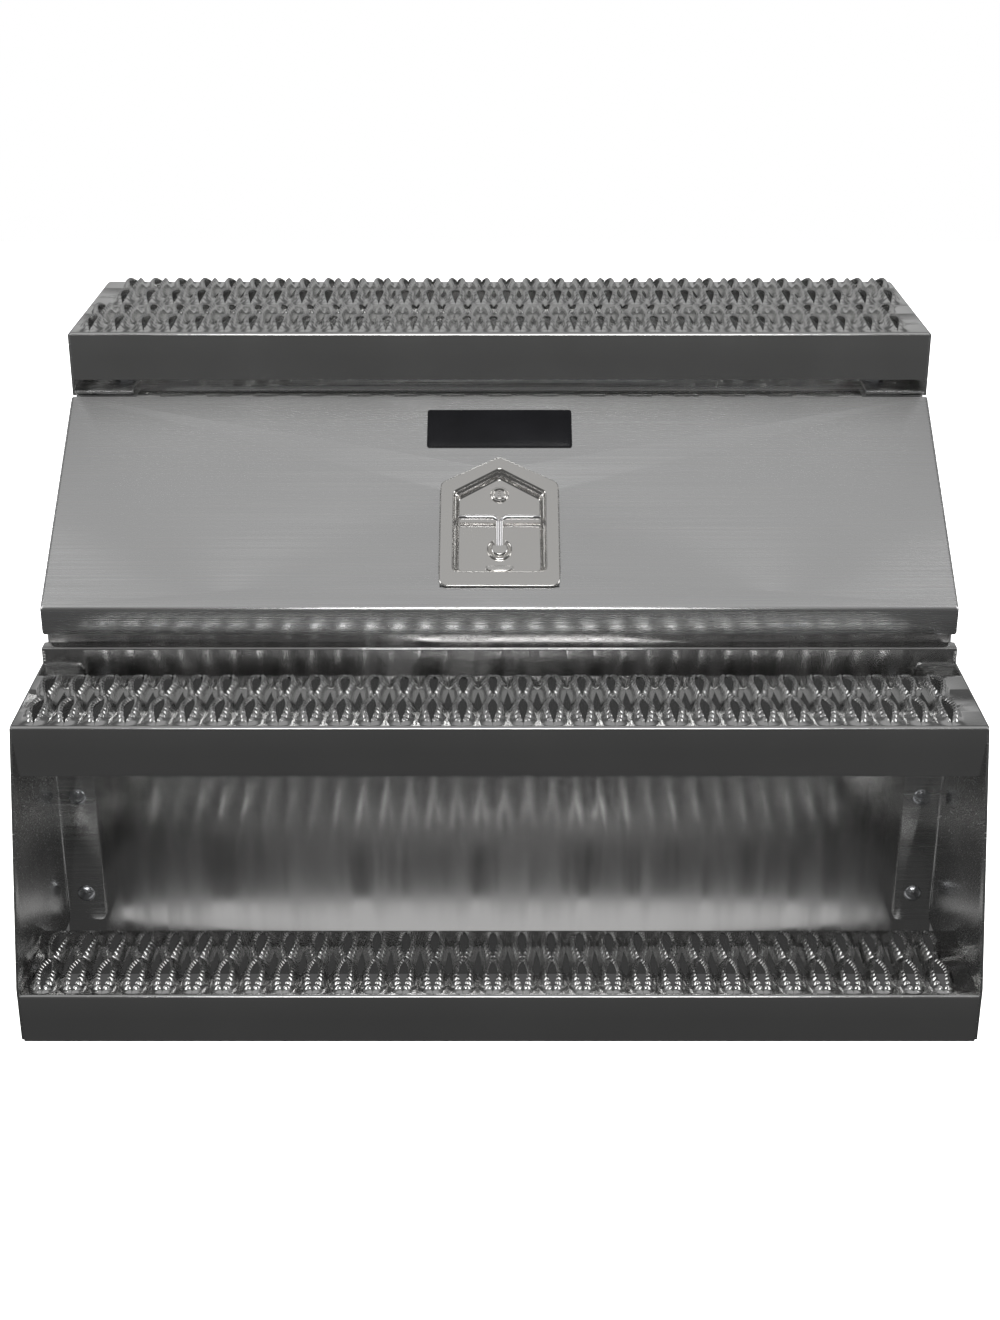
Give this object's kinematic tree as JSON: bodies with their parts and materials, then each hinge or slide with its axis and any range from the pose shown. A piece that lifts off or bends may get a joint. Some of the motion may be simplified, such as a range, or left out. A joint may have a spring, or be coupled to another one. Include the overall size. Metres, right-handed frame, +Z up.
{
  "type": "truck step tool box",
  "caption": "Welded aluminium truck tool box with a serrated tread deck, a sloping hinged lid with a folding T-handle latch, and a two-step unit on its front.",
  "frame": {"origin": "centre of the base's bounding box, on the surface the box stands on", "axes": "+X to the right seen from the front, +Y from the steps to the back panel, +Z up"},
  "size_m": [0.9144, 0.7112, 0.6096],
  "materials": {
    "body_sheet": "mill finish sheet",
    "step_sheet": "mill finish sheet",
    "tread": "mill finish, pressed and serrated",
    "lid_sheet": "brushed sheet",
    "name_plate": "smooth blank plate",
    "latch_steel": "polished stainless steel",
    "plated_steel": "zinc plated",
    "hinge_steel": "stainless steel",
    "seal": "soft black rubber",
    "strut_black": "satin black",
    "rod_chrome": "ground and plated"
  },
  "bodies": {
    "body": {"side_panel_left": "body_sheet", "side_panel_right": "body_sheet", "floor_panel": "body_sheet", "back_panel": "body_sheet", "top_panel": "body_sheet", "front_wall": "body_sheet", "opening_frame": "body_sheet", "door_seal": "seal", "step_end_left": "step_sheet", "step_end_right": "step_sheet", "lower_step_plank": "tread", "middle_step_plank": "tread", "deck_plank_front": "tread", "deck_plank_rear": "tread", "deck_bracket_left": "step_sheet", "deck_bracket_right": "step_sheet", "flange_bolts": "plated_steel", "flange_nuts": "plated_steel", "deck_bolts": "plated_steel", "deck_nuts": "plated_steel", "hinge_leaf_body": "hinge_steel", "hinge_pin": "hinge_steel", "latch_keeper": "plated_steel", "strut_bracket_body_left": "plated_steel", "strut_bracket_body_right": "plated_steel"},
    "lid": {"hinge_leaf_lid": "hinge_steel", "lid_shell": "lid_sheet", "lid_stiffener": "lid_sheet", "name_plate": "name_plate", "latch_gasket": "seal", "latch_pan": "latch_steel", "lock_case": "latch_steel", "strut_bracket_lid_left": "plated_steel", "strut_bracket_lid_right": "plated_steel"},
    "lock": {"lock_plug": "latch_steel"},
    "spindle": {"latch_spindle": "latch_steel", "handle_pin": "latch_steel", "latch_cam": "plated_steel", "latch_nut": "plated_steel"},
    "handle": {"t_handle": "latch_steel"},
    "strut_tube_left": {"strut_cylinder_left": "strut_black"},
    "strut_tube_right": {"strut_cylinder_right": "strut_black"},
    "strut_shaft_left": {"strut_rod_left": "rod_chrome"},
    "strut_shaft_right": {"strut_rod_right": "rod_chrome"}
  },
  "joints": [
    {"name": "lid_hinge", "type": "hinge", "parent": "body", "child": "lid", "pos_m": [0, 0.1109, 0.5278], "axis": [-1, 0, 0], "range_deg": [0, 75]},
    {"name": "latch_turn", "type": "hinge", "parent": "lid", "child": "spindle", "pos_m": [0, -0.05785, 0.42253], "axis": [0, -0.5534, 0.8329], "range_deg": [0, 90]},
    {"name": "handle_fold", "type": "hinge", "parent": "spindle", "child": "handle", "pos_m": [0, -0.05176, 0.41337], "axis": [1, 0, 0], "range_deg": [0, 90]},
    {"name": "lock_turn", "type": "hinge", "parent": "lid", "child": "lock", "pos_m": [0, 0.00045, 0.46127], "axis": [0, -0.5534, 0.8329], "range_deg": [0, 90]},
    {"name": "strut_swing_left", "type": "hinge", "parent": "body", "child": "strut_tube_left", "pos_m": [-0.405, 0.0944, 0.24], "axis": [1, 0, 0], "range_deg": [0, 0.666]},
    {"name": "strut_slide_left", "type": "slide", "parent": "strut_tube_left", "child": "strut_shaft_left", "axis": [0, -0.115, 0.9934], "range_m": [0, 0.07888]},
    {"name": "strut_swing_right", "type": "hinge", "parent": "body", "child": "strut_tube_right", "pos_m": [0.405, 0.0944, 0.24], "axis": [1, 0, 0], "range_deg": [0, 0.666]},
    {"name": "strut_slide_right", "type": "slide", "parent": "strut_tube_right", "child": "strut_shaft_right", "axis": [0, -0.115, 0.9934], "range_m": [0, 0.07888]}
  ],
  "couplings": [
    {"joint": "handle_fold", "follows": "latch_turn", "ratio": 1},
    {"joint": "strut_swing_left", "follows": "lid_hinge", "ratio": 0.0075414},
    {"joint": "strut_slide_left", "follows": "lid_hinge", "m_per_rad": 0.059877},
    {"joint": "strut_swing_right", "follows": "lid_hinge", "ratio": 0.0075414},
    {"joint": "strut_slide_right", "follows": "lid_hinge", "m_per_rad": 0.059877}
  ]
}
